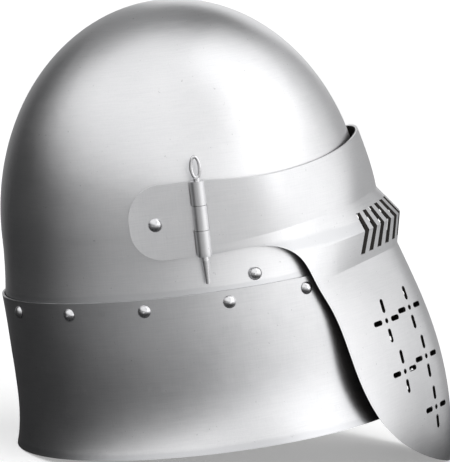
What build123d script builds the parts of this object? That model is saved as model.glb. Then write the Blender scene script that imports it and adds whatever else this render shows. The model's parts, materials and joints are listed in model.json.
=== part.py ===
from build123d import *
from math import cos, radians, sin, sqrt, tan
import os

# A knight's helmet: a riveted two-piece steel skull with a lifting visor on
# two pivots, hinge pins that pull out, and a leather liner and chin strap inside.
# Millimetres. Front is -Y, the wearer's right is -X. The helmet is drawn on its
# rim plane (z = 0) and then leaned back, as it stands on its rear rim and visor tip.

PLATE = 1.6                    # steel sheet of skull, skirt and hinge leaves
LEATHER = 2.0                  # liner and strap leather
LEAN = 9.96                    # lean of the rim plane when the helmet stands

# Skull
CROWN_CENTRE_Z = 150.0         # height of the widest level of the dome
CROWN_RISE = 156.0             # crown above that level
SKULL_LENGTH_R = 131.0         # half-length of the dome
SKULL_WIDTH_R = 104.6          # half-width of the dome
SKULL_SEAM_R = 133.6           # half-length at the seam
SKULL_HEM_R = 133.2            # half-length at the hidden lower edge
SKULL_HEM_Z = 92.0
SEAM_Z = 110.0                 # top edge of the neck skirt
FACE_HALF = 77.0               # half-width of the face opening
FACE_TOP_Z = 178.0             # brow edge of the face opening
FACE_SHOULDER_Z = 140.0        # where the sides of the opening turn into the brow arch
SKIRT_OPEN_TOP = 83.0          # half-width of the skirt's opening at its top edge
SKIRT_OPEN_RIM = 70.0          # and at its rim

# Neck skirt: height, half-width, rear y, front y of each level
SKIRT_LEVELS = (
    (110.0, 108.8, 136.0, -136.0),
    (102.0, 109.0, 135.4, -136.6),
    (70.0, 110.0, 134.2, -138.5),
    (30.0, 112.0, 133.5, -143.0),
    (12.0, 115.3, 135.2, -147.5),
    (0.0, 119.5, 138.0, -152.0),
)

# Seam rivets, equally stepped round each side
SEAM_RIVET_LEVEL = 1           # index of the skirt level that they stand on
SEAM_RIVET_FIRST = 20.0        # degrees from the rear
SEAM_RIVET_STEP = 25.1
SEAM_RIVETS_A_SIDE = 5
RIVET_HEAD_R = 4.5
RIVET_HEAD_H = 2.6
RIVET_SHANK_R = 2.0
RIVET_TAIL_R = 3.2
RIVET_TAIL_H = 1.4
WASHER_R = 5.0
WASHER_T = 0.8
HOLE_CLEARANCE = 0.05
SEAT_GAP = 0.25                # a flat rivet head or washer clears the curved sheet
SEAM_GRIP = 8.0                # skirt, skull and liner band under one seam rivet

# Chin strap rivets, above the seam
STRAP_RIVET_Y = -33.6
STRAP_RIVET_Z = 118.4
STRAP_RIVET_R = 4.2

# Visor pivots and hinges
PIVOT_Y = 31.5
PIVOT_Z = 161.0
HINGE_X = 111.2
HINGE_Y = 0.5
BARREL_R = 5.0
PIN_BORE_R = 2.5
PIN_CLEARANCE = 0.05
BAND_TOP_Z = 188.0             # top and bottom of the side band at the hinge
BAND_LOW_Z = 136.0
KNUCKLE_TOP_Z = 171.5          # the leaf's knuckle lies between these two heights
KNUCKLE_LOW_Z = 153.9
KNUCKLE_GAP = 0.3
LEAF_REAR_Y = 49.5
LEAF_CORNER_R = 23.0
LEAF_INNER_X = (106.2, 105.0, 104.7)   # at the hinge, the pivot and the rear end
PIVOT_SHANK_R = 2.5
PIVOT_HEAD_R = 4.8
PIVOT_SPACER_R = 6.0

# Visor: levels fall slightly towards the rear. Height and y at the keel, then the
# y of the plate at each of the three offsets in VISOR_X.
VISOR_FALL = 5.4
VISOR_WALL = 1.8
VISOR_X = (0.0, 36.0, 60.0, 93.0)
VISOR_TURN = (0.0, 30.0, 44.0, 56.0)   # slope of the plan curve at those offsets
VISOR_END_X = 107.9
VISOR_END_Y = 9.0
BROW_LEVELS = (
    (216.0, -127.0, -117.0, -98.5, -62.0),
    (200.0, -131.7, -122.0, -104.3, -66.0),
    (178.0, -137.6, -126.8, -109.8, -69.5),
    (154.0, -141.6, -128.4, -112.5, -71.0),
)
RIDGE_LEVEL = (134.3, -157.2, -142.0, -121.0, -75.0)
FACE_LEVELS = (
    (112.0, -152.8, -137.0, -114.5, -80.5),
    (82.0, -163.2, -147.0, -125.0, -88.5),
    (45.0, -173.6, -157.3, -136.0, -100.0),
    (8.0, -179.0, -162.6, -142.5, -110.5),
    (-28.0, -179.0, -163.0, -143.0, -112.0),
    (-62.0, -174.0, -158.0, -138.0, -107.0),
)
TIP_R = 8.0

# Sight slots and breathing crosses
SLOTS_A_SIDE = 7
SLOT_PITCH = 10.8              # along the ridge
SLOT_WIDTH = 5.4               # along the ridge
SLOT_RISE = 13.0               # above the ridge
SLOT_DROP = 16.5               # below the ridge
CROSS_ARM = 10.0
CROSS_WIDTH = 3.7
CROSS_REACH = 10.6             # centre of the cross to the middle of an arm
CROSS_FRONT = ((68.0, -168.0), (31.0, -176.5), (-7.0, -180.0))   # z and keel y
CROSS_BACK = ((65.0, -168.0), (27.0, -177.0))

# Hinge pins
PIN_TAIL_Z = 117.0
PIN_TAIL_TIP_R = 1.5
PIN_LOOP_H = 17.0
PIN_LOOP_HALF = 4.2
PIN_WIRE_R = 1.3
PIN_LOOP_SINK = 1.0
PIN_LOOP_ROUND = 1.1

# Liner
BAND_LOW = 94.0
BAND_HIGH = 124.0
BAND_LENGTH_R = 130.0
BAND_WIDTH_R = 103.4
BAND_FRONT_HALF = 84.0
LOBE_CENTRE_Z = 100.0
LOBE_RISE = 188.0
LOBE_LENGTH_R = 127.7
LOBE_WIDTH_R = 101.1
LOBE_LOW_Z = 110.0
LOBE_TIP_R = 17.0
LOBES = ((0, 16), (36, 16), (-36, 16), (72, 16), (-72, 16), (125, 7.5), (-125, 7.5))
CROWN_DISC_R = 32.0

# Chin strap, drawn in the upright plane through its two rivets
STRAP_W = 16.0
STRAP_X = 94.0
STRAP_TOP = 12.0
STRAP_TURN = 22.0
STRAP_SLOPE = 58.0             # fall of the straight stretch that carries the buckle
STRAP_BAR = 50.0               # from the upper bend to the buckle's bar
BUCKLE_WIRE_R = 1.5
BUCKLE_LENGTH = 24.0
BUCKLE_HALF_W = 11.0
TONGUE_PAST = 34.0
TONGUE_OVER = 4.9              # tongue above the strap that carries the buckle
TONGUE_UNDER = -2.8            # tongue below the buckle's front bar
TONGUE_BENDS = (8, 8, 26, 30, 40, 40, 25)
STRAP_DEPTH = 101.0            # lowest point of the strap below its rivets


def skull_profile(inset, sink):
    """Half profile of the dome, from the crown to a hem sunk below its edge, inset by a wall."""
    with BuildSketch(Plane.YZ) as profile:
        with BuildLine():
            crown = EllipticalCenterArc(
                (0, CROWN_CENTRE_Z),
                SKULL_LENGTH_R - inset,
                CROWN_RISE - inset,
                start_angle=0,
                arc_size=90,
            )
            side = TangentArc(crown @ 0, (SKULL_SEAM_R - inset, SEAM_Z), tangent=(0, -1))
            Polyline(
                side @ 1,
                (SKULL_HEM_R - inset, SKULL_HEM_Z - sink),
                (0, SKULL_HEM_Z - sink),
                crown @ 1,
            )
        make_face()
    return profile


def half_width(inset):
    """Width factor that turns the round dome into an oval with an even wall."""
    return (SKULL_WIDTH_R - inset) / (SKULL_LENGTH_R - inset)


def both_sides(points):
    """The same points on the wearer's right and left."""
    return [(side * x, y, z) for side in (-1, 1) for x, y, z in points]


# Rivet places: a point on the sheet and its outward direction
level_z, seam_a, seam_rear, seam_front = SKIRT_LEVELS[SEAM_RIVET_LEVEL]
seam_b = (seam_rear - seam_front) / 2
seam_mid = (seam_rear + seam_front) / 2
seam_planes = []
for number in range(SEAM_RIVETS_A_SIDE):
    turn = radians(SEAM_RIVET_FIRST + number * SEAM_RIVET_STEP)
    for side in (-1, 1):
        spot = (side * seam_a * sin(turn), seam_mid + seam_b * cos(turn), level_z)
        out = (side * sin(turn) / seam_a, cos(turn) / seam_b, 0)
        seam_planes.append(Plane(origin=spot, z_dir=out))

strap_level_b = SKULL_SEAM_R - 0.4
strap_level_a = strap_level_b * half_width(0)
strap_rivet_x = strap_level_a * sqrt(1 - (STRAP_RIVET_Y / strap_level_b) ** 2)
strap_planes = [
    Plane(origin=(side * strap_rivet_x, STRAP_RIVET_Y, STRAP_RIVET_Z), z_dir=(side, 0, 0))
    for side in (-1, 1)
]

# Skull: one raised steel bowl, oval in plan, with the face cut out of its front
with BuildPart() as dome:
    add(skull_profile(0, 0).sketch)
    revolve(axis=Axis.Z)
    scale(by=(half_width(0), 1, 1))
with BuildPart() as hollow:
    add(skull_profile(PLATE, 5).sketch)
    revolve(axis=Axis.Z)
    scale(by=(half_width(PLATE), 1, 1))
with BuildPart() as skull:
    add(dome.part)
    add(hollow.part, mode=Mode.SUBTRACT)
    with BuildSketch(Plane.XZ):
        with BuildLine():
            left = (-FACE_HALF, FACE_SHOULDER_Z)
            right = (FACE_HALF, FACE_SHOULDER_Z)
            ThreePointArc(left, (0, FACE_TOP_Z), right)
            Polyline(right, (FACE_HALF, 0), (-FACE_HALF, 0), left)
        make_face()
    extrude(amount=200, mode=Mode.SUBTRACT)
    with BuildSketch(*seam_planes):
        Circle(RIVET_SHANK_R + HOLE_CLEARANCE)
    extrude(amount=15, both=True, mode=Mode.SUBTRACT)
    with BuildSketch(*strap_planes):
        Circle(RIVET_SHANK_R + HOLE_CLEARANCE)
    extrude(amount=12, both=True, mode=Mode.SUBTRACT)
    with BuildSketch(Plane.YZ):
        with Locations((PIVOT_Y, PIVOT_Z)):
            Circle(PIVOT_SHANK_R + HOLE_CLEARANCE)
    extrude(amount=130, both=True, mode=Mode.SUBTRACT)


def skirt_block(inset, reach):
    """The skirt's solid form, one oval for each level, inset by a wall."""
    with BuildPart() as block:
        for z, half, rear, front in SKIRT_LEVELS:
            with BuildSketch(Plane.XY.offset(z)):
                with Locations((0, (rear + front) / 2)):
                    Ellipse(half - inset, (rear - front) / 2 - inset)
        loft()
        if reach:
            extrude(block.faces().sort_by(Axis.Z)[0], amount=reach)
            extrude(block.faces().sort_by(Axis.Z)[-1], amount=reach)
    return block.part


# Neck skirt: one flared plate lapped over the skull's lower edge, open at the face
with BuildPart() as neck_skirt:
    add(skirt_block(0, 0))
    add(skirt_block(PLATE, 5), mode=Mode.SUBTRACT)
    with BuildSketch(Plane.XZ):
        Polygon(
            (-SKIRT_OPEN_TOP, SEAM_Z + 10),
            (SKIRT_OPEN_TOP, SEAM_Z + 10),
            (SKIRT_OPEN_RIM, -10),
            (-SKIRT_OPEN_RIM, -10),
            align=None,
        )
    extrude(amount=200, mode=Mode.SUBTRACT)
    with BuildSketch(*seam_planes):
        Circle(RIVET_SHANK_R + HOLE_CLEARANCE)
    extrude(amount=15, both=True, mode=Mode.SUBTRACT)


def rivets(planes, grip):
    """Domed heads outside, shanks through the stack, and peened tails inside."""
    with BuildPart() as group:
        for plane in planes:
            seat = plane.offset(SEAT_GAP)
            cap_r = (RIVET_HEAD_R**2 + RIVET_HEAD_H**2) / (2 * RIVET_HEAD_H)
            with BuildSketch(Plane(seat.origin, x_dir=seat.x_dir, z_dir=-seat.y_dir)):
                with BuildLine():
                    dome_arc = RadiusArc((0, RIVET_HEAD_H), (RIVET_HEAD_R, 0), cap_r)
                    Polyline(
                        dome_arc @ 1,
                        (RIVET_SHANK_R, 0),
                        (RIVET_SHANK_R, -grip),
                        (RIVET_TAIL_R, -grip),
                        (RIVET_TAIL_R * 0.8, -grip - RIVET_TAIL_H),
                        (0, -grip - RIVET_TAIL_H),
                        (0, RIVET_HEAD_H),
                    )
                make_face()
            revolve(axis=Axis(seat.origin, seat.z_dir))
    return group


def washers(planes, grip):
    """Thin rings inside, between the leather and the peened tails."""
    with BuildPart() as group:
        for plane in planes:
            with BuildSketch(plane.offset(SEAT_GAP - grip + 0.1)):
                Circle(WASHER_R)
                Circle(RIVET_SHANK_R + HOLE_CLEARANCE, mode=Mode.SUBTRACT)
            extrude(amount=WASHER_T)
    return group


seam_stack = SEAM_GRIP + 2 * SEAT_GAP + WASHER_T + 0.1
seam_rivets = rivets(seam_planes, seam_stack)
seam_washers = washers(seam_planes, seam_stack)
strap_stack = strap_rivet_x - STRAP_X + LEATHER / 2 + 2 * SEAT_GAP + WASHER_T + 0.1
strap_rivets = rivets([plane.offset(1.0) for plane in strap_planes], strap_stack + 1.0)
strap_washers = washers([plane.offset(1.0) for plane in strap_planes], strap_stack + 1.0)


def visor_section(level, inset):
    """Plan outline of the visor at one level: a rounded keel, two flanks, and a straight back."""
    height, keel = level[0], level[1]
    fall = radians(VISOR_FALL)
    plane = Plane(origin=(0, keel, height), x_dir=(1, 0, 0), z_dir=(0, sin(fall), cos(fall)))
    curve = []
    for x, y, turn in zip(VISOR_X, level[1:], VISOR_TURN):
        bend = radians(turn)
        curve.append((x - inset * sin(bend), (y - keel) / cos(fall) + inset * cos(bend)))
    curve.append((VISOR_END_X - inset, (VISOR_END_Y + inset - keel) / cos(fall)))
    with BuildSketch(plane) as section:
        with BuildLine():
            half = Spline(*curve, tangents=((1, 0), (0, 1)))
            mirror(half, about=Plane.YZ)
            end = half @ 1
            Line(end, (-end.X, end.Y))
        make_face()
    return section.sketch


def visor_block(inset):
    """The visor's solid form: smooth brow, two flat flanks meeting at the ridge, smooth face."""
    bands = (
        (BROW_LEVELS, False),
        ((BROW_LEVELS[-1], RIDGE_LEVEL), True),
        ((RIDGE_LEVEL, FACE_LEVELS[0]), True),
        (FACE_LEVELS, False),
    )
    with BuildPart() as block:
        for levels, flat in bands:
            loft([visor_section(level, inset) for level in levels], ruled=flat)
    return block.part


visor_outer = visor_block(0)
visor_inner = visor_block(VISOR_WALL)

# Where the ridge runs: plan points a slot's pitch apart
ridge_height, ridge_keel = RIDGE_LEVEL[0], RIDGE_LEVEL[1]
with BuildLine() as ridge:
    Spline(
        *[(x, y) for x, y in zip(VISOR_X, RIDGE_LEVEL[1:])],
        (VISOR_END_X, VISOR_END_Y),
        tangents=((1, 0), (0, 1)),
    )
ridge_line = ridge.edges()[0]

# Visor plate: brow, sights, snout and side bands in one sheet, with hinge knuckles
with BuildPart() as visor_plate:
    add(visor_outer)
    add(visor_inner, mode=Mode.SUBTRACT)
    with BuildSketch(Plane.YZ):
        with BuildLine():
            top = Spline(
                (HINGE_Y, BAND_TOP_Z),
                (-44.0, 185.2),
                (-76.0, 186.2),
                (-105.0, 190.3),
                (-140.0, 203.0),
            )
            snout = Polyline(top @ 1, (-230.0, 203.0), (-230.0, -54.0), (-176.0, -54.0))
            chin = Spline(
                (-176.0, -54.0),
                (-146.0, -36.0),
                (-114.5, -3.0),
                (-99.8, 31.0),
                (-85.5, 84.0),
                (-76.5, 103.5),
                (-67.0, 124.0),
                (-52.0, 134.4),
                (-30.0, 137.4),
                (HINGE_Y, BAND_LOW_Z),
            )
            Line(chin @ 1, top @ 0)
        make_face()
    extrude(amount=150, both=True, mode=Mode.INTERSECT)
    for side in (-1, 1):
        with BuildSketch(Plane.XY.offset(BAND_LOW_Z)):
            with Locations((side * HINGE_X, HINGE_Y)):
                Circle(BARREL_R)
        extrude(amount=BAND_TOP_Z - BAND_LOW_Z)
    middle_z = (KNUCKLE_LOW_Z + KNUCKLE_TOP_Z) / 2
    middle_h = KNUCKLE_TOP_Z - KNUCKLE_LOW_Z
    with Locations(*both_sides([(HINGE_X, HINGE_Y, middle_z)])):
        Box(24, 2 * BARREL_R + 1.2, middle_h, mode=Mode.SUBTRACT)
    with Locations(*both_sides([(HINGE_X, HINGE_Y, middle_z)])):
        Cylinder(PIN_BORE_R, 90, mode=Mode.SUBTRACT)
    for number in range(SLOTS_A_SIDE):
        run = (number + 0.5) * SLOT_PITCH / ridge_line.length
        spot = ridge_line @ run
        heading = ridge_line % run
        ridge_z = ridge_height - (spot.Y - ridge_keel) * tan(radians(VISOR_FALL))
        low_z = ridge_z - SLOT_DROP
        slot_h = SLOT_RISE + SLOT_DROP
        with Locations(*both_sides([(spot.X, spot.Y + 8, low_z + slot_h / 2)])):
            Box(SLOT_WIDTH * heading.X, 40, slot_h, mode=Mode.SUBTRACT)
    crosses = [(VISOR_X[1], 17.0, 35.0, z, keel) for z, keel in CROSS_FRONT]
    crosses += [(VISOR_X[2], 39.0, 47.0, z, keel) for z, keel in CROSS_BACK]
    for x, back, bend, z, keel in crosses:
        for side in (-1, 1):
            across = (side * cos(radians(bend)), sin(radians(bend)), 0)
            out = (side * sin(radians(bend)), -cos(radians(bend)), 0)
            if side < 0:
                across = (-across[0], -across[1], 0)
            with BuildSketch(Plane((side * x, keel + back, z), x_dir=across, z_dir=out)):
                Circle(CROSS_WIDTH / 2)
                with Locations((CROSS_REACH, 0), (-CROSS_REACH, 0)):
                    SlotOverall(CROSS_ARM, CROSS_WIDTH)
                with Locations((0, CROSS_REACH), (0, -CROSS_REACH)):
                    SlotOverall(CROSS_ARM, CROSS_WIDTH, rotation=90)
            extrude(amount=14, both=True, mode=Mode.SUBTRACT)


def hinge_leaf(side):
    """The short plate behind one hinge, with the middle knuckle and the pivot hole."""
    with BuildPart() as leaf:
        with BuildSketch(Plane.XY.offset(BAND_LOW_Z)):
            with BuildLine():
                near, mid, far = LEAF_INNER_X
                inner = Spline(
                    (side * near, HINGE_Y), (side * mid, PIVOT_Y), (side * far, LEAF_REAR_Y)
                )
                outer = Spline(
                    (side * (near + PLATE), HINGE_Y),
                    (side * (mid + PLATE), PIVOT_Y),
                    (side * (far + PLATE), LEAF_REAR_Y),
                )
                Line(inner @ 0, outer @ 0)
                Line(inner @ 1, outer @ 1)
            make_face()
        extrude(amount=BAND_TOP_Z - BAND_LOW_Z)
        with BuildSketch(Plane.YZ):
            with BuildLine():
                FilletPolyline(
                    (HINGE_Y - 9, BAND_LOW_Z),
                    (LEAF_REAR_Y, BAND_LOW_Z),
                    (LEAF_REAR_Y, BAND_TOP_Z),
                    (HINGE_Y - 9, BAND_TOP_Z),
                    radius=LEAF_CORNER_R,
                )
                Line((HINGE_Y - 9, BAND_TOP_Z), (HINGE_Y - 9, BAND_LOW_Z))
            make_face()
        extrude(amount=150, both=True, mode=Mode.INTERSECT)
        middle = KNUCKLE_TOP_Z - KNUCKLE_LOW_Z - 2 * KNUCKLE_GAP
        low_h = KNUCKLE_LOW_Z + KNUCKLE_GAP - BAND_LOW_Z
        top_h = BAND_TOP_Z - KNUCKLE_TOP_Z + KNUCKLE_GAP
        with Locations((side * HINGE_X, HINGE_Y, BAND_LOW_Z + low_h / 2)):
            Box(24, 2 * BARREL_R + 1.4, low_h, mode=Mode.SUBTRACT)
        with Locations((side * HINGE_X, HINGE_Y, BAND_TOP_Z - top_h / 2)):
            Box(24, 2 * BARREL_R + 1.4, top_h, mode=Mode.SUBTRACT)
        with BuildSketch(Plane.XY.offset(KNUCKLE_LOW_Z + KNUCKLE_GAP)):
            with Locations((side * HINGE_X, HINGE_Y)):
                Circle(BARREL_R)
        extrude(amount=middle)
        with Locations((side * HINGE_X, HINGE_Y, PIVOT_Z)):
            Cylinder(PIN_BORE_R, 90, mode=Mode.SUBTRACT)
        with BuildSketch(Plane.YZ):
            with Locations((PIVOT_Y, PIVOT_Z)):
                Circle(PIVOT_SHANK_R + HOLE_CLEARANCE)
        extrude(amount=150, both=True, mode=Mode.SUBTRACT)
    return leaf


# Hinge pin: folded wire, with a closed loop to pull on, a straight shank and a tapered tail
pin_shank_r = PIN_BORE_R - PIN_CLEARANCE
loop_low = BAND_TOP_Z + 2
with BuildPart() as plain_pin:
    with BuildSketch(Plane.XZ):
        Polygon(
            (0, PIN_TAIL_Z),
            (PIN_TAIL_TIP_R, PIN_TAIL_Z),
            (pin_shank_r, BAND_LOW_Z - 3),
            (pin_shank_r, loop_low),
            (0, loop_low),
            align=None,
        )
    revolve(axis=Axis.Z)
with BuildPart() as pin_loop:
    with BuildSketch(Plane.YZ):
        with Locations((0, loop_low + PIN_LOOP_H / 2 - PIN_LOOP_SINK)):
            Ellipse(PIN_LOOP_HALF, PIN_LOOP_H / 2)
            Ellipse(PIN_LOOP_HALF - 2 * PIN_WIRE_R, PIN_LOOP_H / 2 - 2 * PIN_WIRE_R, mode=Mode.SUBTRACT)
    extrude(amount=PIN_WIRE_R, both=True)
    fillet(pin_loop.edges(), radius=PIN_LOOP_ROUND)
one_pin = plain_pin.part + pin_loop.part


def hinge_pin(side):
    """The same pin in one hinge's bore."""
    with BuildPart() as pin:
        add(one_pin.moved(Location((side * HINGE_X, HINGE_Y, 0))))
    return pin


def pivot_rivet(side):
    """The visor's pivot: a domed head outside the leaf and a peened tail inside the skull."""
    leaf_out = LEAF_INNER_X[1] + PLATE
    cap_r = (PIVOT_HEAD_R**2 + RIVET_HEAD_H**2) / (2 * RIVET_HEAD_H)
    head_x = leaf_out + 0.4
    tail_x = pivot_washer_x - WASHER_T - 0.1
    with BuildPart() as rivet:
        with BuildSketch(Plane.XY.offset(PIVOT_Z)):
            with BuildLine():
                cap = RadiusArc(
                    (side * (head_x + RIVET_HEAD_H), PIVOT_Y),
                    (side * head_x, PIVOT_Y + PIVOT_HEAD_R),
                    -side * cap_r,
                )
                Polyline(
                    cap @ 1,
                    (side * head_x, PIVOT_Y + PIVOT_SHANK_R),
                    (side * tail_x, PIVOT_Y + PIVOT_SHANK_R),
                    (side * tail_x, PIVOT_Y + RIVET_TAIL_R + 0.6),
                    (side * (tail_x - RIVET_TAIL_H), PIVOT_Y + RIVET_TAIL_R),
                    (side * (tail_x - RIVET_TAIL_H), PIVOT_Y),
                    cap @ 0,
                )
            make_face()
        revolve(axis=Axis((0, PIVOT_Y, PIVOT_Z), (1, 0, 0)))
    return rivet


def pivot_ring(side, outer_x, thickness):
    """A washer on the pivot, with its outer face at the given distance from the middle."""
    with BuildPart() as ring:
        with BuildSketch(Plane(origin=(side * outer_x, PIVOT_Y, PIVOT_Z), z_dir=(-side, 0, 0))):
            Circle(PIVOT_SPACER_R)
            Circle(PIVOT_SHANK_R + HOLE_CLEARANCE, mode=Mode.SUBTRACT)
        extrude(amount=thickness)
    return ring


def dome_half_width_at(y, z, inset):
    """Half-width of the dome's surface at a place on its side."""
    length = (y / (SKULL_LENGTH_R - inset)) ** 2
    rise = ((z - CROWN_CENTRE_Z) / (CROWN_RISE - inset)) ** 2
    return (SKULL_WIDTH_R - inset) * sqrt(1 - length - rise)


# The spacer fills from the skull to the leaf, and the inner washer lies on the skull's inside
spacer_low_x = dome_half_width_at(PIVOT_Y - PIVOT_SPACER_R, PIVOT_Z, 0) + 0.1
spacer_high_x = LEAF_INNER_X[1] - 0.5
pivot_washer_x = dome_half_width_at(PIVOT_Y + PIVOT_SPACER_R, PIVOT_Z + 4, PLATE) - 0.1


def ellipsoid(length_r, width_r, rise):
    """An upright half ellipsoid on the liner's base level."""
    with BuildPart() as egg:
        with BuildSketch(Plane.YZ):
            with BuildLine():
                arc = EllipticalCenterArc(
                    (0, LOBE_CENTRE_Z), length_r, rise, start_angle=0, arc_size=90
                )
                Polyline(arc @ 0, (0, LOBE_CENTRE_Z), arc @ 1)
            make_face()
        revolve(axis=Axis.Z)
        scale(by=(width_r / length_r, 1, 1))
    return egg.part


# Liner band: a leather strip riveted round the inside of the seam, open at the face
with BuildPart() as liner_band:
    with BuildSketch(Plane.XY.offset(BAND_LOW)):
        Ellipse(BAND_WIDTH_R, BAND_LENGTH_R)
        Ellipse(BAND_WIDTH_R - LEATHER, BAND_LENGTH_R - LEATHER, mode=Mode.SUBTRACT)
        with Locations((0, -100)):
            Rectangle(2 * BAND_FRONT_HALF, 200, mode=Mode.SUBTRACT)
    extrude(amount=BAND_HIGH - BAND_LOW)
    with BuildSketch(*seam_planes):
        Circle(RIVET_SHANK_R + HOLE_CLEARANCE)
    extrude(amount=15, both=True, mode=Mode.SUBTRACT)
    with BuildSketch(*strap_planes):
        Circle(RIVET_SHANK_R + HOLE_CLEARANCE)
    extrude(amount=12, both=True, mode=Mode.SUBTRACT)

liner_outer = ellipsoid(LOBE_LENGTH_R, LOBE_WIDTH_R, LOBE_RISE)
liner_inner = ellipsoid(LOBE_LENGTH_R - LEATHER, LOBE_WIDTH_R - LEATHER, LOBE_RISE - LEATHER)
disc_outer = ellipsoid(LOBE_LENGTH_R + 2.3, LOBE_WIDTH_R + 2.3, LOBE_RISE + 2.3)
disc_inner = ellipsoid(LOBE_LENGTH_R + 0.3, LOBE_WIDTH_R + 0.3, LOBE_RISE + 0.3)


def liner_lobe(angle, spread):
    """One leather petal, sewn to the band below and to the crown disc above."""
    reach = 150.0
    low = radians(angle - spread)
    high = radians(angle + spread)
    near = LOBE_TIP_R
    tip = radians(3.5)
    middle = radians(angle)
    with BuildPart() as lobe:
        add(liner_outer)
        add(liner_inner, mode=Mode.SUBTRACT)
        with BuildSketch(Plane.XY.offset(LOBE_LOW_Z)):
            Polygon(
                (near * sin(middle - tip), near * cos(middle - tip)),
                (reach * sin(low), reach * cos(low)),
                (reach * sin(high), reach * cos(high)),
                (near * sin(middle + tip), near * cos(middle + tip)),
                align=None,
            )
        extrude(amount=200, mode=Mode.INTERSECT)
    return lobe


lobes = [liner_lobe(angle, spread) for angle, spread in LOBES]

# Crown disc: a leather round sewn over the tips of the lobes
with BuildPart() as crown_disc:
    add(disc_outer)
    add(disc_inner, mode=Mode.SUBTRACT)
    with BuildSketch(Plane.XY.offset(LOBE_CENTRE_Z + 20)):
        Circle(CROWN_DISC_R)
    extrude(amount=200, mode=Mode.INTERSECT)

# Chin strap: drawn in an upright plane through both rivets, hanging in a bow under the chin
lean_turn = radians(LEAN)
strap_plane = Plane(
    origin=(0, STRAP_RIVET_Y, STRAP_RIVET_Z),
    x_dir=(1, 0, 0),
    z_dir=(0, -cos(lean_turn), -sin(lean_turn)),
)
slope = radians(STRAP_SLOPE)
along = Vector(cos(slope), -sin(slope))
inward = Vector(sin(slope), cos(slope))
upper_bend = Vector(-STRAP_X, -STRAP_TURN)
bar = upper_bend + along * STRAP_BAR
buckle_plane = Plane(
    origin=strap_plane.from_local_coords(Vector(bar.X, bar.Y, 0)),
    x_dir=strap_plane.x_dir * along.X + strap_plane.y_dir * along.Y,
    z_dir=strap_plane.x_dir * inward.X + strap_plane.y_dir * inward.Y,
)
# In the buckle's side plane x runs down the strap and y points inwards
side_plane = Plane(buckle_plane.origin, x_dir=buckle_plane.x_dir, z_dir=-buckle_plane.y_dir)


def ribbon(points, radii):
    """A flat leather strip, thick either side of a line of straight runs and bends."""
    with BuildSketch(strap_plane) as strip:
        with BuildLine():
            FilletPolyline(*points, radius=radii)
            offset(amount=LEATHER / 2, side=Side.BOTH)
        make_face()
    return strip.sketch


# Buckle side: from the right rivet, folded round the buckle's bar
with BuildPart() as strap_buckle_side:
    run = [(-STRAP_X, STRAP_TOP), tuple(upper_bend)[:2], tuple(bar - along * 2.4)[:2]]
    extrude(ribbon(run, 12), amount=STRAP_W / 2, both=True)
    with BuildSketch(side_plane):
        Circle(BUCKLE_WIRE_R + LEATHER + 0.1)
    extrude(amount=STRAP_W / 2, both=True)
    with BuildSketch(side_plane):
        Circle(BUCKLE_WIRE_R + 0.1)
    extrude(amount=STRAP_W, both=True, mode=Mode.SUBTRACT)
    with BuildSketch(side_plane):
        with Locations((1.5, 0)):
            Rectangle(10.4, 12)
    extrude(amount=1.9, both=True, mode=Mode.SUBTRACT)
    with BuildSketch(strap_planes[0]):
        Circle(RIVET_SHANK_R + HOLE_CLEARANCE)
    extrude(amount=12, both=True, mode=Mode.SUBTRACT)

# Tongue side: from the left rivet, under the chin, through the buckle and its keeper
tongue_end = bar - along * TONGUE_PAST + inward * TONGUE_OVER
tongue_over = bar + along * 3 + inward * TONGUE_OVER
tongue_under = bar + along * 18 + inward * TONGUE_UNDER
tongue_out = bar + along * 36 + inward * TONGUE_UNDER
tongue_points = [
    tuple(tongue_end)[:2],
    tuple(tongue_over)[:2],
    tuple(tongue_under)[:2],
    tuple(tongue_out)[:2],
    (-20.0, -STRAP_DEPTH),
    (20.0, -STRAP_DEPTH),
    (62.0, -84.0),
    (STRAP_X, -STRAP_TURN),
    (STRAP_X, STRAP_TOP),
]
with BuildPart() as strap_tongue_side:
    extrude(ribbon(tongue_points, TONGUE_BENDS), amount=STRAP_W / 2, both=True)
    with BuildSketch(buckle_plane):
        with Locations((7.2, 0)):
            SlotOverall(13.5, 3.6)
        with Locations((-12, 0)):
            Circle(1.8)
    extrude(amount=9, both=True, mode=Mode.SUBTRACT)
    with BuildSketch(strap_planes[1]):
        Circle(RIVET_SHANK_R + HOLE_CLEARANCE)
    extrude(amount=12, both=True, mode=Mode.SUBTRACT)

# Buckle frame: a brass wire ring, its rear side the bar that the prong turns on
with BuildSketch(buckle_plane) as ring:
    with Locations((BUCKLE_LENGTH / 2, 0)):
        RectangleRounded(BUCKLE_LENGTH, 2 * BUCKLE_HALF_W, 3.5)
ring_path = ring.sketch.faces()[0].outer_wire()
with BuildPart() as buckle_frame:
    with BuildSketch(Plane(ring_path @ 0, z_dir=ring_path % 0)):
        Circle(BUCKLE_WIRE_R)
    sweep(path=ring_path)

# Buckle prong: a brass tongue curled round the bar, through the strap, onto the front bar
with BuildPart() as buckle_prong:
    with BuildSketch(side_plane):
        with BuildLine():
            FilletPolyline((1.0, 2.25), (14.0, 2.9), (BUCKLE_LENGTH + 2.5, 2.9), radius=30)
            offset(amount=1.1, side=Side.BOTH)
        make_face()
        Circle(BUCKLE_WIRE_R + 1.6)
        Circle(BUCKLE_WIRE_R + 0.1, mode=Mode.SUBTRACT)
    extrude(amount=1.4, both=True)

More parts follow.
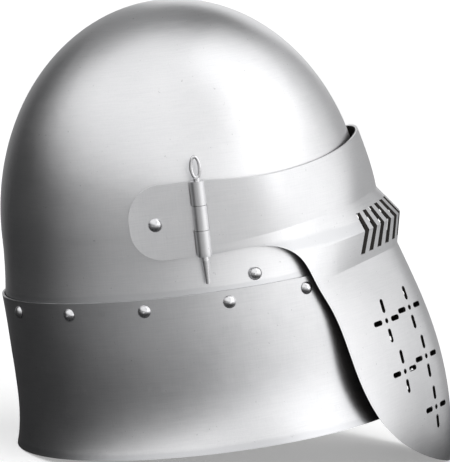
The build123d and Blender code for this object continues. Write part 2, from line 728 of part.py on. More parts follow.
# Strap keeper: a narrow leather loop round both thicknesses
with BuildPart() as strap_keeper:
    keeper_low = -LEATHER / 2 - 0.3
    keeper_high = TONGUE_OVER + LEATHER / 2 + 0.3
    keeper_origin = buckle_plane.from_local_coords(Vector(-22, 0, 0))
    with BuildSketch(Plane(keeper_origin, x_dir=-buckle_plane.y_dir, z_dir=buckle_plane.x_dir)):
        with Locations((0, (keeper_low + keeper_high) / 2)):
            Rectangle(STRAP_W + 0.6 + 2.8, keeper_high - keeper_low + 2.8)
            Rectangle(STRAP_W + 0.6, keeper_high - keeper_low, mode=Mode.SUBTRACT)
    extrude(amount=4, both=True)

pieces = {
    "skull": skull,
    "neck_skirt": neck_skirt,
    "seam_rivets": seam_rivets,
    "seam_rivet_washers": seam_washers,
    "visor_plate": visor_plate,
    "liner_band": liner_band,
    "crown_disc": crown_disc,
    "chin_strap_rivets": strap_rivets,
    "chin_strap_washers": strap_washers,
    "chin_strap_buckle_side": strap_buckle_side,
    "chin_strap_tongue_side": strap_tongue_side,
    "buckle_frame": buckle_frame,
    "buckle_prong": buckle_prong,
    "strap_keeper": strap_keeper,
}
for name, side in (("right", -1), ("left", 1)):
    pieces[f"hinge_leaf_{name}"] = hinge_leaf(side)
    pieces[f"hinge_pin_{name}"] = hinge_pin(side)
    pieces[f"pivot_rivet_{name}"] = pivot_rivet(side)
    pieces[f"pivot_spacer_{name}"] = pivot_ring(side, spacer_high_x, spacer_high_x - spacer_low_x)
    pieces[f"pivot_washer_{name}"] = pivot_ring(side, pivot_washer_x, WASHER_T)
for number, lobe in enumerate(lobes, 1):
    pieces[f"liner_lobe_{number}"] = lobe

# Stand the helmet on its rear rim and visor tip, centred over the origin
lean = Location((0, 0, 0), (-LEAN, 0, 0))
whole = Compound([piece.part.moved(lean) for piece in pieces.values()]).bounding_box()
stand = Location((0, -(whole.min.Y + whole.max.Y) / 2, -whole.min.Z)) * lean

os.makedirs("parts", exist_ok=True)
for label, piece in pieces.items():
    piece.part.label = label
    piece.part.move(stand)
    export_step(piece.part, f"parts/{label}.step")
print("origin of the drawing in the standing frame", stand.position)
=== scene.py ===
import json
import math

import bpy
import numpy as np
from mathutils import Matrix, Vector


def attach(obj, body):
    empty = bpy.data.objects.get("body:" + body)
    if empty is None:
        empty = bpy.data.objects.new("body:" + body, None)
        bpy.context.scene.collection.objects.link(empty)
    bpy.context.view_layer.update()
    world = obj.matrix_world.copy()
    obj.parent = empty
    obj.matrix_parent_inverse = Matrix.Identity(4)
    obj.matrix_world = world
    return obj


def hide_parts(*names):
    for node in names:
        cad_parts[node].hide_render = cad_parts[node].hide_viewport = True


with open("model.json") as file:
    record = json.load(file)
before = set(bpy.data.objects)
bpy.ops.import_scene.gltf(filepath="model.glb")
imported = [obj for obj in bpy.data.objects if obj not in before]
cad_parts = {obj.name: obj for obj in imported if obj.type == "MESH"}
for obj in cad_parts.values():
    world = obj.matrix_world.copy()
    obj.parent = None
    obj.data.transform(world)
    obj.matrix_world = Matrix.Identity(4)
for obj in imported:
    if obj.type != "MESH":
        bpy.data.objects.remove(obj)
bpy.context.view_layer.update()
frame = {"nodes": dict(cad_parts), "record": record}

# Where the helmet stands. It was drawn upright with its seam level; it rests leaning
# forward on the rear of its rim and the tip of its visor. The head opening's mount keeps
# the drawing's origin and its downward axis.
opening = next(m for m in frame["record"]["mounts"] if m["name"] == "head_opening")
origin = Vector(opening["pos_m"])
down = Vector(opening["axis"])
lean = math.atan2(-down.y, -down.z)
to_standing = Matrix.Rotation(-lean, 3, "X")


def standing(points):
    """Turns points of the upright drawing, in millimetres, about the x axis by the lean and
    moves them to the standing helmet's origin, in metres."""
    turned = np.asarray(points, float) @ np.array(to_standing).T
    return turned / 1000 + np.array(origin)


# Camera: a long lens a little above the helmet's side, level with the eye of somebody
# standing over a table. It leans with the helmet, which is shown a few degrees off upright.
azimuth, elevation, distance = math.radians(-7.63), math.radians(6.95), 2.0344
drawn_lean = math.radians(6.4)
toward = Vector((
    -math.cos(azimuth) * math.cos(elevation),
    -math.sin(azimuth) * math.cos(elevation),
    math.sin(elevation),
))
forward = -toward
right = forward.cross(Vector((0, 0, 1))).normalized()
above = right.cross(forward)
aim = (forward + 0.00664 * right - 0.0128 * above).normalized()
rest_turn = Matrix.Rotation(drawn_lean - lean, 3, "X")
eye = origin + rest_turn @ (Vector((0, 0, 0.1636)) + toward * distance)
back = -(rest_turn @ aim)
side = (rest_turn @ above).cross(back).normalized()
camera = bpy.data.objects.new("camera", bpy.data.cameras.new("camera"))
axes = Matrix((side, back.cross(side), back)).transposed()
camera.matrix_world = Matrix.Translation(eye) @ axes.to_4x4()
camera.data.lens = 220.1
camera.data.sensor_fit = "VERTICAL"
camera.data.sensor_width = 36
camera.data.sensor_height = 36
bpy.context.scene.collection.objects.link(camera)
bpy.context.scene.camera = camera


# Shader maths for every finish below.
class Number:
    """A number inside a material. Arithmetic on it adds Math nodes to that material."""

    def __init__(self, finish, socket):
        self.finish = finish
        self.socket = socket

    def math(self, operation, *terms):
        return self.finish.node("ShaderNodeMath", {"operation": operation}, dict(enumerate(terms)))

    def __add__(self, other):
        return self.math("ADD", self, other)

    def __sub__(self, other):
        return self.math("SUBTRACT", self, other)

    def __rsub__(self, other):
        return self.math("SUBTRACT", other, self)

    def __mul__(self, other):
        return self.math("MULTIPLY", self, other)

    def __abs__(self):
        return self.math("ABSOLUTE", self)

    __radd__ = __add__
    __rmul__ = __mul__


class Finish:
    """A node tree of a material or of the world, with the few calls that the finishes need."""

    def __init__(self, owner):
        owner.use_nodes = True
        self.owner = owner
        self.tree = owner.node_tree
        self.tree.nodes.clear()

    def node(self, kind, settings=None, sockets=None, out=0):
        """Adds a node, sets its settings and then its sockets to values or links."""
        made = self.tree.nodes.new(kind)
        for key, value in (settings or {}).items():
            setattr(made, key, value)
        for key, value in (sockets or {}).items():
            if isinstance(value, Number):
                self.tree.links.new(value.socket, made.inputs[key])
            else:
                made.inputs[key].default_value = value
        return Number(self, made.outputs[out]) if len(made.outputs) else made

    def place(self):
        """Object coordinates, in metres in the standing frame."""
        return self.node("ShaderNodeTexCoord", out="Object")

    def turned(self, where, stretch=(1, 1, 1)):
        """Coordinates of the upright drawing, stretched along its own axes."""
        settled = self.node(
            "ShaderNodeMapping", {"vector_type": "TEXTURE"},
            {"Vector": where, "Location": tuple(origin), "Rotation": (-lean, 0, 0)},
        )
        return self.node("ShaderNodeMapping", {}, {"Vector": settled, "Scale": stretch})

    def noise(self, where, scale, detail=3.0, roughness=0.55):
        """Cloudy noise between 0 and 1."""
        return self.node(
            "ShaderNodeTexNoise", {},
            {"Vector": where, "Scale": scale, "Detail": detail, "Roughness": roughness},
        )

    def step(self, value, low, high):
        """Rises smoothly from 0 at the low value to 1 at the high one."""
        return self.node(
            "ShaderNodeMapRange", {"interpolation_type": "SMOOTHSTEP"},
            {"Value": value, "From Min": low, "From Max": high},
        )

    def blend(self, share, first, second):
        """A colour between two, by a share from 0 to 1."""
        return self.node(
            "ShaderNodeMix", {"data_type": "RGBA"}, {0: share, 6: first, 7: second}, out=2
        )

    def surface(self, **sockets):
        """Ends the material with a Principled shader."""
        named = {name.replace("_", " "): value for name, value in sockets.items()}
        shader = self.node("ShaderNodeBsdfPrincipled", {}, named)
        self.node("ShaderNodeOutputMaterial", {}, {"Surface": shader})
        return self.owner


# Floor: a plain pale sweep that runs flat under the helmet and curves up far behind it. For every ray but
# the camera's it is near-black and glows with a painted reflection.
def sweep_floor():
    """A sheet whose height is zero to 3 m away, then a quarter circle of 2 m radius, then upright."""
    along = np.concatenate([np.linspace(-4, 3, 8), 3 + 2 * np.sin(np.linspace(0.1, np.pi / 2, 16)), [5]])
    height = np.concatenate([np.zeros(8), 2 - 2 * np.cos(np.linspace(0.1, np.pi / 2, 16)), [5]])
    across = np.linspace(-7, 7, 9)
    grid = np.stack(np.broadcast_arrays(along[:, None], across[None, :], height[:, None]), -1)
    count = np.arange(grid.shape[0] * grid.shape[1]).reshape(grid.shape[:2])
    faces = np.stack([count[:-1, :-1], count[1:, :-1], count[1:, 1:], count[:-1, 1:]], -1).reshape(-1, 4)
    mesh = bpy.data.meshes.new("floor")
    mesh.from_pydata(grid.reshape(-1, 3).tolist(), [], faces.tolist())
    mesh.polygons.foreach_set("use_smooth", [True] * len(mesh.polygons))
    floor = bpy.data.objects.new("floor", mesh)
    bpy.context.scene.collection.objects.link(floor)
    paint = Finish(bpy.data.materials.new("floor_paint"))
    cloud = paint.noise(paint.place(), 3.0)
    seen = paint.node("ShaderNodeLightPath", out="Is Camera Ray")
    shade = paint.blend(cloud, (0.90, 0.905, 0.91, 1), (0.94, 0.94, 0.94, 1))
    # Rays other than the camera's see the floor near-black, so the steel reflects no pale floor: a painted
    # reflection.
    shade = paint.blend(seen, (0.03, 0.03, 0.031, 1), shade)
    spot = paint.place()
    reach = paint.node("ShaderNodeVectorMath", {"operation": "LENGTH"}, {0: spot}, out="Value")
    forwards = 0 - paint.node("ShaderNodeSeparateXYZ", {}, {"Vector": spot}, out="Y")
    sideways = 0 - paint.node("ShaderNodeSeparateXYZ", {}, {"Vector": spot}, out="X")
    turn = paint.node("ShaderNodeMath", {"operation": "ARCTAN2"}, {0: forwards, 1: sideways})
    # For those rays the floor glows by a pattern of directions round the helmet and is dimmed close to it:
    # a painted reflection for the steel, with painted shade near the helmet.
    painted_reflection_glow = (
        0.01 + 0.42 * paint.step(turn, -1.6, -0.55) + 0.12 * paint.step(turn, -0.5, 0.2)
        + 0.25 * paint.step(turn, 0.35, 0.95) - 0.42 * paint.step(turn, 1.4, 2.2)
        + 0.37 * paint.step(turn, -2.3, -3.1)
    )
    painted_reflection_glow = painted_reflection_glow * (0.04 + 0.96 * paint.step(reach, 0.18, 0.8))
    painted_reflection_colour = paint.node("ShaderNodeCombineColor", {}, {0: painted_reflection_glow, 1: painted_reflection_glow, 2: painted_reflection_glow})
    mesh.materials.append(paint.surface(
        Base_Color=shade, Roughness=0.9, Specular_IOR_Level=0.1,
        Emission_Color=paint.blend(seen, painted_reflection_colour, (0.32, 0.32, 0.32, 1)), Emission_Strength=1.0,
    ))


sweep_floor()

# Light: a white room for the eye, and for the steel a soft studio that is bright before
# the helmet's face, middling behind its neck, and dim above and beyond it.
bpy.context.scene.view_settings.view_transform = "Standard"
world = bpy.data.worlds.new("studio")
bpy.context.scene.world = world
room = Finish(world)
outward = room.node("ShaderNodeTexCoord", out="Generated")


def facing(direction):
    """Cosine between a ray and a direction."""
    return room.node(
        "ShaderNodeVectorMath", {"operation": "DOT_PRODUCT"},
        {0: outward, 1: tuple(Vector(direction).normalized())}, out="Value",
    )


# Round the horizon the level is told by the angle from the helmet's right side towards
# its face; overhead it is bright before the crown and dim beyond it.
beside = facing((-1, 0.13, 0))
before = facing((-0.13, -1, 0))
round_angle = room.node("ShaderNodeMath", {"operation": "ARCTAN2"}, {0: before, 1: beside})
horizon = (
    0.34 - 0.33 * room.step(round_angle, -2.9, -2.1) + 0.85 * room.step(round_angle, -1.7, -0.7)
    + 0.32 * room.step(round_angle, -0.8, -0.1) + 0.18 * room.step(round_angle, 0.2, 0.8)
    - 1.04 * room.step(round_angle, 1.55, 2.4)
)
passing = room.step(beside, 0.16, -0.3) * (1 - 0.8 * room.step(before, 0.25, 0.7))
overhead = 1.12 - 0.20 * room.step(before, -0.15, 0.35) - 0.85 * passing
height = facing((0, 0, 1))
raised = room.step(height, 0.12, 0.6)
low_rear = room.step(height, 0.20, 0.02) * room.step(before, 0.6, -0.2)
level = (horizon * (1 - raised) + overhead * raised) * (1 - 0.8 * low_rear)
seen = room.node("ShaderNodeLightPath", out="Is Camera Ray")
strength = seen * 1.02 + (1 - seen) * level
sky = room.node("ShaderNodeBackground", {}, {"Color": (1, 1, 1, 1), "Strength": strength})
room.node("ShaderNodeOutputWorld", {}, {"Surface": sky})


def soft_light(name, place, size, power, aim_at=(0, 0, 0.16)):
    """A square area light that faces a point on the helmet."""
    lamp = bpy.data.lights.new(name, "AREA")
    lamp.size = size
    lamp.energy = power
    holder = bpy.data.objects.new(name, lamp)
    turn = (Vector(place) - Vector(aim_at)).to_track_quat("Z", "Y")
    holder.matrix_world = Matrix.Translation(place) @ turn.to_matrix().to_4x4()
    bpy.context.scene.collection.objects.link(holder)


soft_light("key_light", (-1.5, -1.7, 1.2), 1.6, 4)
soft_light("top_light", (-0.6, -1.6, 2.6), 2.8, 15)
soft_light("far_light", (2.2, -0.6, 1.2), 1.4, 4)


# Skull: a bowl raised from one steel sheet, planished smooth and ground to a satin, with
# the face cut out of its front. Its hem is tucked inside the neck skirt.
def steel(name, pale, dull, rough, swirl, shade_band_from=None, shade_band_to=None, painted_shade_inside=False,
          painted_shade_in_slots=False):
    """Satin steel: grind lines run round the helmet, planishing leaves faint waves, and the
    oil film clouds the colour. A level band where two plates meet is darkened with painted
    shade. Faces that look back at the head are painted near-black, the forge's black scale and
    painted shade inside the bowl, and so are the sides of the slots, painted shade in them."""
    metal = Finish(bpy.data.materials.new(name))
    where = metal.place()
    drawn = metal.turned(where)
    lines = metal.noise(metal.turned(where, (60, 60, 1500)), 1.0, 4.0, 0.65)
    hair = metal.noise(metal.turned(where, (1300, 1300, 90)), 1.0, 2.0)
    waves = metal.noise(drawn, 26.0, 2.0)
    cloud = metal.noise(drawn, 9.0, 5.0, 0.6)
    specks = metal.step(metal.noise(drawn, 420.0, 2.0), 0.70, 0.78)
    wear_and_shade = cloud * 0.55 + lines * 0.3 + hair * 0.15
    # A level band is darkened here: painted shade where two plates meet.
    if shade_band_from is not None:
        height = metal.node("ShaderNodeSeparateXYZ", {}, {"Vector": drawn}, out="Z")
        ragged = height + (cloud - 0.5) * 0.004
        band = metal.step(ragged, shade_band_from, (shade_band_from + shade_band_to) / 2)
        band = band * (1 - metal.step(ragged, (shade_band_from + shade_band_to) / 2, shade_band_to))
        wear_and_shade = wear_and_shade - band * 0.45
    shade = metal.blend(metal.step(wear_and_shade, 0.22, 0.72), dull, pale)
    shade = metal.blend(specks * 0.5, shade, tuple(0.6 * part for part in dull[:3]) + (1,))
    polish = rough + (lines - 0.5) * 0.10 + (cloud - 0.5) * 0.12 + specks * 0.15
    height_map = waves + lines * swirl + hair * swirl * 0.5 - specks * 0.1
    relief = metal.node("ShaderNodeBump", {}, {"Strength": 0.35, "Distance": 0.0004, "Height": height_map})
    # Faces that look back at the head are painted near-black: the forge's black scale and painted shade
    # inside the bowl. The slot sides are painted the same: painted shade in the slots.
    if painted_shade_inside:
        ray = metal.node(
            "ShaderNodeVectorMath", {"operation": "SUBTRACT"},
            {0: where, 1: tuple(standing([(0, 15, 110)])[0])},
        )
        ray = metal.node("ShaderNodeVectorMath", {"operation": "NORMALIZE"}, {0: ray})
        outside = metal.node(
            "ShaderNodeVectorMath", {"operation": "DOT_PRODUCT"},
            {0: metal.node("ShaderNodeTexCoord", out="Normal"), 1: ray}, out="Value",
        )
        scale = metal.step(outside, -0.12, -0.3)
        if painted_shade_in_slots:
            normal = metal.node("ShaderNodeTexCoord", out="Normal")
            across = metal.node("ShaderNodeSeparateXYZ", {}, {"Vector": normal}, out="X")
            front = metal.node("ShaderNodeSeparateXYZ", {}, {"Vector": where}, out="Y")
            sides = metal.step(abs(across), 0.93, 0.97) * metal.step(front, -0.070, -0.076)
            scale = scale.math("MAXIMUM", scale, sides)
        black = metal.blend(
            metal.step(cloud, 0.35, 0.65), (0.035, 0.033, 0.032, 1), (0.085, 0.078, 0.072, 1)
        )
        shade = metal.blend(scale, shade, black)
        polish = polish + scale * 0.22
    return metal.surface(Base_Color=shade, Metallic=1.0, Roughness=polish, Normal=relief)


def dress(node, material):
    """Gives every slot of a drawn part's object the material."""
    slots = frame["nodes"][node].data.materials
    if not slots:
        slots.append(material)
    for index in range(len(slots)):
        slots[index] = material


# The skull's band about the seam is darkened with painted shade, and its inward faces are painted
# near-black: forge scale and painted shade.
skull_steel = steel(
    "skull_satin", (0.80, 0.80, 0.81, 1), (0.66, 0.665, 0.68, 1), 0.34, 0.10, 0.1085, 0.1145, True
)
dress("skull", skull_steel)

# Neck skirt: a steel collar lapped outside the skull's hem and riveted to it, flared at
# the rim and left a little duller than the skull.
# The skirt's band at the rim is darkened with painted shade, and its inward faces are painted near-black:
# forge scale and painted shade.
skirt_steel = steel(
    "skirt_satin", (0.76, 0.76, 0.77, 1), (0.60, 0.605, 0.62, 1), 0.33, 0.10, -0.004, 0.006, True
)
dress("neck_skirt", skirt_steel)

# Seam rivets: ten domed iron rivets peened over washers inside. The strap rivets above
# the seam are of the same make.
rivet_steel = steel("rivet_polish", (0.82, 0.82, 0.83, 1), (0.60, 0.60, 0.62, 1), 0.26, 0.05)
washer_steel = steel("washer_mill", (0.55, 0.54, 0.53, 1), (0.32, 0.30, 0.29, 1), 0.45, 0.15)
for node in ("seam_rivets", "chin_strap_rivets", "pivot_rivet_right", "pivot_rivet_left"):
    dress(node, rivet_steel)
for node in (
    "seam_rivet_washers", "chin_strap_washers", "pivot_washer_right", "pivot_washer_left",
    "pivot_spacer_right", "pivot_spacer_left",
):
    dress(node, washer_steel)

# Visor: a single steel plate folded along a keel, with a band round the brow, a sharp
# ridge at the sight and seven slots a side, and crosses cut through for breath.
# The visor's level band at 128 to 140 mm is darkened with painted shade. Its inward faces are painted
# near-black, forge scale and painted shade, and the sides of its slots are painted near-black, painted
# shade.
visor_steel = steel(
    "visor_satin", (0.80, 0.80, 0.81, 1), (0.66, 0.665, 0.68, 1), 0.32, 0.10, 0.128, 0.140, True, True
)
dress("visor_plate", visor_steel)

# Hinge leaves: the rounded ends of the visor's side bands, on the pivots, with knuckles
# rolled at their front edge for the pins.
leaf_steel = steel(
    "leaf_satin", (0.80, 0.80, 0.81, 1), (0.64, 0.645, 0.66, 1), 0.31, 0.10
)
for node in ("hinge_leaf_right", "hinge_leaf_left"):
    dress(node, leaf_steel)

# Hinge pins: bright wire, looped at the top to pull on and tapered at the tail.
pin_steel = steel("pin_bright", (0.86, 0.86, 0.87, 1), (0.60, 0.60, 0.62, 1), 0.22, 0.03)
for node in ("hinge_pin_right", "hinge_pin_left"):
    dress(node, pin_steel)


# Liner band: a strip of oak-tanned leather round the inside of the seam, held by the
# seam rivets, with a row of waxed stitches near each edge.
def skin(name, grid, material):
    """A closed tube of skin over rows of points: each row is one section, its columns run
    round the section, and the two end sections are filled. It rides on the helmet."""
    rows, columns = grid.shape[:2]
    count = np.arange(rows * columns).reshape(rows, columns)
    beside = np.roll(count, -1, axis=1)
    faces = np.stack([count[:-1], beside[:-1], beside[1:], count[1:]], -1).reshape(-1, 4).tolist()
    faces += [count[0, ::-1].tolist(), count[-1].tolist()]
    mesh = bpy.data.meshes.new(name)
    mesh.from_pydata(grid.reshape(-1, 3).tolist(), [], faces)
    mesh.materials.append(material)
    mesh.polygons.foreach_set("use_smooth", [True] * len(mesh.polygons))
    mesh.update()
    piece = bpy.data.objects.new(name, mesh)
    bpy.context.scene.collection.objects.link(piece)
    if signed_volume(mesh) < 0:
        mesh.flip_normals()
    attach(piece, "helmet")
    return piece


def signed_volume(mesh):
    """Sum over the faces' triangles of a sixth of their corners' triple product: positive
    when the faces point outwards."""
    mesh.calc_loop_triangles()
    corners = np.empty(len(mesh.loop_triangles) * 3, np.int32)
    mesh.loop_triangles.foreach_get("vertices", corners)
    places = np.empty(len(mesh.vertices) * 3)
    mesh.vertices.foreach_get("co", places)
    a, b, c = places.reshape(-1, 3)[corners.reshape(-1, 3)].transpose(1, 0, 2)
    return float(np.einsum("ij,ij->", a, np.cross(b, c))) / 6


def leather(name, warm, dark, rough):
    """Vegetable-tanned leather: pebbled grain, pores, creases, darker where it was handled."""
    hide = Finish(bpy.data.materials.new(name))
    where = hide.place()
    cells = hide.node(
        "ShaderNodeTexVoronoi", {"feature": "DISTANCE_TO_EDGE"}, {"Vector": where, "Scale": 900.0}
    )
    grain = hide.step(cells, 0.0, 0.16)
    cloud = hide.noise(where, 35.0, 5.0, 0.6)
    pores = hide.step(hide.noise(where, 1500.0, 2.0), 0.62, 0.75)
    creases = hide.step(abs(hide.noise(where, 60.0, 4.0, 0.6) - 0.5), 0.0, 0.03)
    shade = hide.blend(hide.step(cloud * 0.7 + grain * 0.3, 0.25, 0.75), dark, warm)
    shade = hide.blend((1 - creases) * 0.45, shade, tuple(0.45 * part for part in dark[:3]) + (1,))
    shade = hide.blend(pores * 0.5, shade, tuple(0.5 * part for part in dark[:3]) + (1,))
    height_map = grain * 0.6 + creases * 0.6 + cloud * 0.3 - pores * 0.5
    relief = hide.node(
        "ShaderNodeBump", {}, {"Strength": 0.55, "Distance": 0.0005, "Height": height_map}
    )
    return hide.surface(Base_Color=shade, Roughness=rough + (cloud - 0.5) * 0.25, Normal=relief)


def flat_section(half_width, half_thickness, columns=20, corner=0.45):
    """A strap's section: across as the cosine and through as the sine of one turn, each
    raised to a small power, which squares the oval."""
    turn = np.linspace(0, 2 * np.pi, columns, endpoint=False) + np.pi / columns
    across = np.sign(np.cos(turn)) * np.abs(np.cos(turn)) ** corner * half_width
    through = np.sign(np.sin(turn)) * np.abs(np.sin(turn)) ** corner * half_thickness
    return across, through


def stitch_row(name, places, along, outward, thread, length=3.4, thick=0.75):
    """A row of waxed thread stitches: each is a little egg, its points the place plus along
    by a cosine, and round by a sine, scaled to the stitch's length and thickness."""
    along = along / np.linalg.norm(along, axis=1, keepdims=True)
    outward = outward - along * np.einsum("ij,ij->i", outward, along)[:, None]
    outward = outward / np.linalg.norm(outward, axis=1, keepdims=True)
    beside = np.cross(along, outward)
    slide = np.linspace(0.12, np.pi - 0.12, 6)
    turn = np.linspace(0, 2 * np.pi, 6, endpoint=False)
    lengthways = np.cos(slide)[:, None] * np.ones_like(turn) * length / 2
    wide = np.sin(slide)[:, None] ** 0.6 * np.cos(turn) * thick / 2
    high = np.sin(slide)[:, None] ** 0.6 * np.sin(turn) * thick / 2
    eggs = (
        places[:, None, None]
        + along[:, None, None] * lengthways[None, :, :, None]
        + beside[:, None, None] * wide[None, :, :, None]
        + outward[:, None, None] * high[None, :, :, None]
    )
    one = np.arange(36).reshape(6, 6)
    beside_one = np.roll(one, -1, axis=1)
    quads = np.stack([one[:-1], beside_one[:-1], beside_one[1:], one[1:]], -1).reshape(-1, 4).tolist()
    shape = quads + [one[0, ::-1].tolist(), one[-1].tolist()]
    faces = [[corner + 36 * number for corner in face] for number in range(len(places)) for face in shape]
    mesh = bpy.data.meshes.new(name)
    mesh.from_pydata(standing(eggs.reshape(-1, 3)).tolist(), [], faces)
    mesh.materials.append(thread)
    mesh.polygons.foreach_set("use_smooth", [True] * len(mesh.polygons))
    mesh.update()
    if signed_volume(mesh) < 0:
        mesh.flip_normals()
    piece = bpy.data.objects.new(name, mesh)
    bpy.context.scene.collection.objects.link(piece)
    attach(piece, "helmet")
    return piece


liner_hide = leather("liner_hide", (0.34, 0.19, 0.09, 1), (0.20, 0.105, 0.05, 1), 0.62)
thread = Finish(bpy.data.materials.new("waxed_thread"))
twist = thread.node(
    "ShaderNodeTexWave", {"bands_direction": "DIAGONAL"},
    {"Vector": thread.place(), "Scale": 900.0, "Distortion": 1.5},
)
waxed_thread = thread.surface(
    Base_Color=thread.blend(twist, (0.50, 0.41, 0.27, 1), (0.70, 0.61, 0.44, 1)),
    Roughness=0.7,
    Normal=thread.node("ShaderNodeBump", {}, {"Strength": 0.5, "Distance": 0.0003, "Height": twist}),
)

band_turn = np.radians(np.linspace(-125.4, 125.4, 241))
band_across, band_through = flat_section(15.0, 1.0)
band_out = np.stack([np.sin(band_turn), np.cos(band_turn)], -1)
band_size = np.array([102.4, 129.0])
band_grid = np.empty((len(band_turn), len(band_across), 3))
band_grid[..., :2] = band_out[:, None] * (band_size + band_through[None, :, None])
band_grid[..., 2] = 109.0 + band_across[None]
band = skin("liner_band_leather", standing(band_grid.reshape(-1, 3)).reshape(band_grid.shape), liner_hide)
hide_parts("liner_band")
stitch_turn = np.radians(np.linspace(-123, 123, 124))
stitch_along = np.stack(
    [np.cos(stitch_turn) * 102.4, -np.sin(stitch_turn) * 129.0, 0 * stitch_turn], -1
)
inward = -np.stack([np.sin(stitch_turn) / 102.4, np.cos(stitch_turn) / 129.0, 0 * stitch_turn], -1)
for label, height in (("upper", 120.5), ("lower", 97.0)):
    spots = np.stack(
        [np.sin(stitch_turn) * 101.4, np.cos(stitch_turn) * 128.0, np.full(len(stitch_turn), height)], -1
    )
    stitch_row(f"band_stitching_{label}", spots, stitch_along, inward, waxed_thread)


# Liner petals: seven leather leaves sewn to the band, rising inside the dome to the crown
# disc, where a cord once drew their tips together.
def petal_points(middle, spread, rise, across, depth):
    """A petal on an upright ellipsoid. Rise is the sine of the height angle. The half-width
    in plan grows in a straight line from the tip to the foot; across is the share of it,
    and depth moves a point inwards through the leather."""
    long_r, wide_r, tall = 126.7 - depth, 100.1 - depth, 187.0 - depth
    ring = np.sqrt(1 - rise**2)
    radius = ring / np.hypot(math.sin(middle) / wide_r, math.cos(middle) / long_r)
    growth = (150 * math.sin(spread) - 1.04) / (150 * math.cos(spread) - 16.97)
    half = np.arctan2(1.04 + (radius - 16.97) * growth, radius)
    half = np.arctan2(1.04 + (radius * np.cos(half) - 16.97) * growth, radius * np.cos(half))
    turn = middle + across * half
    reach = ring / np.hypot(np.sin(turn) / wide_r, np.cos(turn) / long_r)
    return np.stack(
        [reach * np.sin(turn), reach * np.cos(turn), 100 + tall * rise + 0 * turn], -1
    )


petals = ((0, 16), (36, 16), (-36, 16), (72, 16), (-72, 16), (125, 7.5), (-125, 7.5))
for number, (middle, spread) in enumerate(petals, 1):
    middle, spread = math.radians(middle), math.radians(spread)
    tip = math.hypot(math.sin(middle) / 100.1, math.cos(middle) / 126.7) * 19.0
    climb = np.sin(np.linspace(math.asin(11.2 / 187), math.acos(tip), 60))
    across, through = flat_section(0.985, 0.95, 28, 0.4)
    grid = petal_points(middle, spread, climb[:, None], across[None], through[None])
    petal = skin(f"liner_petal_{number}", standing(grid.reshape(-1, 3)).reshape(grid.shape), liner_hide)
    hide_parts(f"liner_lobe_{number}")
    steps = np.sin(np.linspace(math.asin(13 / 187), math.acos(tip * 1.6), 46))
    for label, edge in (("a", -0.84), ("b", 0.84)):
        spots = petal_points(middle, spread, steps, edge, 0.95)
        stitch_row(
            f"petal_{number}_stitching_{label}", spots, np.gradient(spots, axis=0),
            np.array([[0.0, 0.0, 110.0]]) - spots, waxed_thread, 3.0,
        )

# Crown disc: a leather round sewn over the petals' tips.
disc_ring = np.linspace(0.004, 1, 24)
disc_turn = np.linspace(0, 2 * np.pi, 72, endpoint=False)
disc_layers = []
for grow, reach in ((2.2, disc_ring), (0.4, disc_ring[::-1])):
    flat_x = 31.8 * reach[:, None] * np.sin(disc_turn)
    flat_y = 31.8 * reach[:, None] * np.cos(disc_turn)
    lift = np.sqrt(1 - (flat_x / (101.1 + grow)) ** 2 - (flat_y / (127.7 + grow)) ** 2)
    disc_layers.append(np.stack([flat_x, flat_y, 100 + (188 + grow) * lift], -1))
disc_grid = np.concatenate(disc_layers)
disc = skin("crown_disc_leather", standing(disc_grid.reshape(-1, 3)).reshape(disc_grid.shape), liner_hide)
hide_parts("crown_disc")

# Chin strap: two lengths of harness leather from the strap rivets, hung in a bow under
# the chin, the longer one through the brass buckle and its keeper.
strap_hide = leather("strap_hide", (0.23, 0.12, 0.06, 1), (0.12, 0.06, 0.032, 1), 0.5)
strap_heart = np.array([0.0, -33.6, 118.4])
strap_slope = math.radians(58.0)
strap_down = np.array([math.cos(strap_slope), -math.sin(strap_slope)])
strap_in = np.array([math.sin(strap_slope), math.cos(strap_slope)])
upper_bend = np.array([-94.0, -22.0])
bar = upper_bend + strap_down * 50.0


def rounded_run(points, radii):
    """A line of straight runs whose corners are cut by parabolas: each starts and ends at
    the bend radius times the tangent of half the turn from its corner."""
    points = np.asarray(points, float)
    path = [points[:1]]
    share = np.linspace(0, 1, 9)[:, None]
    for before, corner, after, radius in zip(points[:-2], points[1:-1], points[2:], radii):
        enter = (corner - before) / np.linalg.norm(corner - before)
        leave = (after - corner) / np.linalg.norm(after - corner)
        cut = radius * math.tan(math.acos(np.clip(enter @ leave, -1, 1)) / 2)
        first, last = corner - enter * cut, corner + leave * cut
        path.append((1 - share) ** 2 * first + 2 * share * (1 - share) * corner + share**2 * last)
    path.append(points[-1:])
    line = np.concatenate(path)
    far = np.concatenate([[0], np.cumsum(np.linalg.norm(np.diff(line, axis=0), axis=1))])
    even = np.linspace(0, far[-1], int(far[-1] / 2.5))
    return np.stack([np.interp(even, far, line[:, 0]), np.interp(even, far, line[:, 1])], -1)


def strap_place(line, lift, across):
    """Points of the strap's upright plane, lifted off the line and moved across the strap,
    in the drawing's axes."""
    ahead = np.gradient(line, axis=0)
    ahead /= np.linalg.norm(ahead, axis=1, keepdims=True)
    off = np.stack([ahead[:, 1], -ahead[:, 0]], -1)
    flat = line[:, None] + off[:, None] * lift[None, :, None]
    upright = np.array([0, -math.sin(lean), math.cos(lean)])
    sideways = np.array([0, math.cos(lean), math.sin(lean)])
    return (
        strap_heart + flat[..., :1] * np.array([1.0, 0, 0]) + flat[..., 1:] * upright
        + across[None, :, None] * sideways
    )


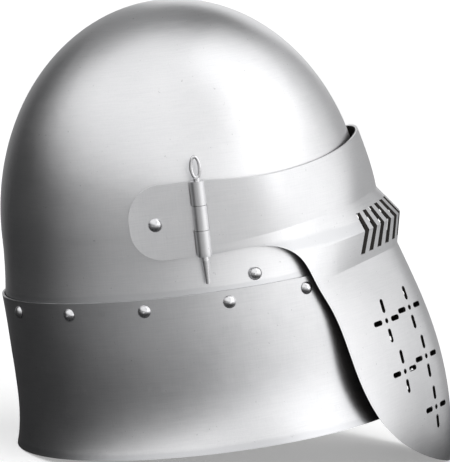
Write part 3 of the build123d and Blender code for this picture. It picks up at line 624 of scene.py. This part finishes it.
def strap(name, node, points, radii):
    """A strap along its rounded run, its corners squared."""
    line = rounded_run(points, radii)
    wide, thick = flat_section(7.8, 0.95)
    grid = strap_place(line, thick, wide)
    piece = skin(name, standing(grid.reshape(-1, 3)).reshape(grid.shape), strap_hide)
    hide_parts(node)
    for label, edge in (("a", -6.1), ("b", 6.1)):
        inner = line[2:-2]
        for face, lift in (("in", -0.95), ("out", 0.95)):
            spots = strap_place(inner, np.array([lift]), np.array([edge]))[::2, 0]
            rise = spots - strap_place(inner, np.array([0.0]), np.array([edge]))[::2, 0]
            row = stitch_row(
                f"{name}_stitching_{label}_{face}", spots, np.gradient(spots, axis=0), rise,
                waxed_thread, 3.0, 0.7,
            )


strap(
    "strap_buckle_side_leather", "chin_strap_buckle_side",
    [(-94.0, 12.0), tuple(upper_bend), tuple(bar - strap_down * 2.4)], [12],
)
strap(
    "strap_tongue_side_leather", "chin_strap_tongue_side",
    [
        tuple(bar - strap_down * 34 + strap_in * 4.9),
        tuple(bar + strap_down * 3 + strap_in * 4.9),
        tuple(bar + strap_down * 18 - strap_in * 2.8),
        tuple(bar + strap_down * 36 - strap_in * 2.8),
        (-20.0, -101.0), (20.0, -101.0), (62.0, -84.0), (94.0, -22.0), (94.0, 12.0),
    ],
    (8, 8, 26, 30, 40, 40, 25),
)
dress("strap_keeper", strap_hide)

# Buckle: a cast brass ring with a prong curled round its bar.
cast = Finish(bpy.data.materials.new("buckle_brass"))
tarnish = cast.noise(cast.place(), 160.0, 4.0, 0.6)
fine = cast.noise(cast.place(), 1400.0, 3.0)
buckle_brass = cast.surface(
    Base_Color=cast.blend(cast.step(tarnish, 0.35, 0.7), (0.62, 0.44, 0.18, 1), (0.32, 0.21, 0.09, 1)),
    Metallic=1.0,
    Roughness=0.28 + tarnish * 0.25,
    Normal=cast.node("ShaderNodeBump", {}, {"Strength": 0.3, "Distance": 0.0002, "Height": fine + tarnish}),
)
for node in ("buckle_frame", "buckle_prong"):
    dress(node, buckle_brass)
